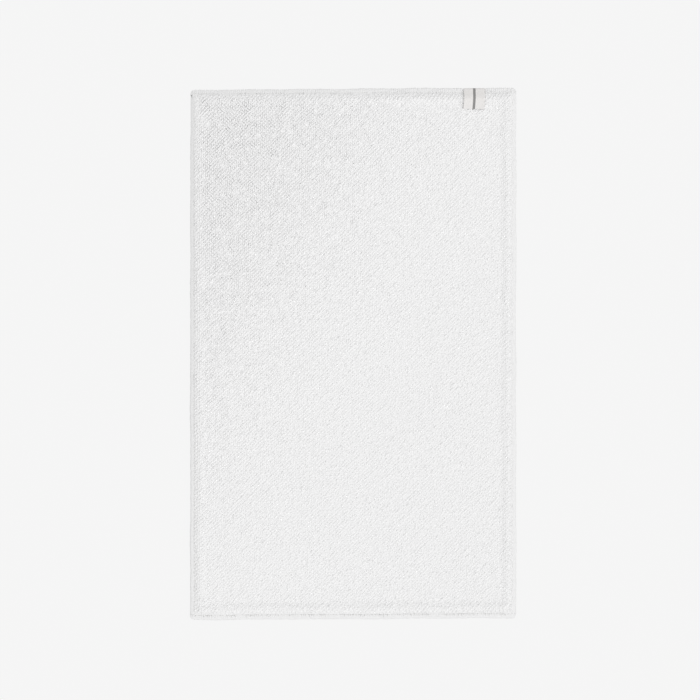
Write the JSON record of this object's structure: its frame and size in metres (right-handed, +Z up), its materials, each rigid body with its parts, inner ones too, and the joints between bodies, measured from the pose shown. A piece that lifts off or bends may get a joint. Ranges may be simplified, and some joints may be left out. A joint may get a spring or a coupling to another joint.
{
  "type": "bath mat",
  "caption": "Flat woven terry bath mat with a thick looped pile, folded and stitched hems on all sides, and a small loop label that lifts at one end.",
  "frame": {"origin": "centre of the mat's outline, on the floor under its back", "axes": "+Z up out of the pile, +Y along the mat towards the end with the label, +X across it, so the label is to the right of centre seen from above"},
  "size_m": [0.495, 0.806, 0.0118],
  "materials": {
    "pile_cotton": "soft looped cotton terry, matt",
    "ground_cotton": "plain woven cotton, matt",
    "sewing_thread": "twisted cotton sewing thread, slight sheen",
    "label_tape": "fine woven cream tape, slight sheen"
  },
  "bodies": {
    "mat": {"ground_cloth": "ground_cotton", "terry_pile": "pile_cotton", "hem_top": "ground_cotton", "hem_bottom": "ground_cotton", "hem_left": "ground_cotton", "hem_right": "ground_cotton", "needle_thread_top": "sewing_thread", "bobbin_thread_top": "sewing_thread", "needle_thread_bottom": "sewing_thread", "bobbin_thread_bottom": "sewing_thread", "needle_thread_left": "sewing_thread", "bobbin_thread_left": "sewing_thread", "needle_thread_right": "sewing_thread", "bobbin_thread_right": "sewing_thread"},
    "label": {"loop_label": "label_tape"}
  },
  "joints": [
    {"name": "label_lift", "type": "hinge", "parent": "mat", "child": "label", "pos_m": [0.1838, 0.402, 0.0048], "axis": [-1, 0, 0], "range_deg": [0, 165]}
  ]
}
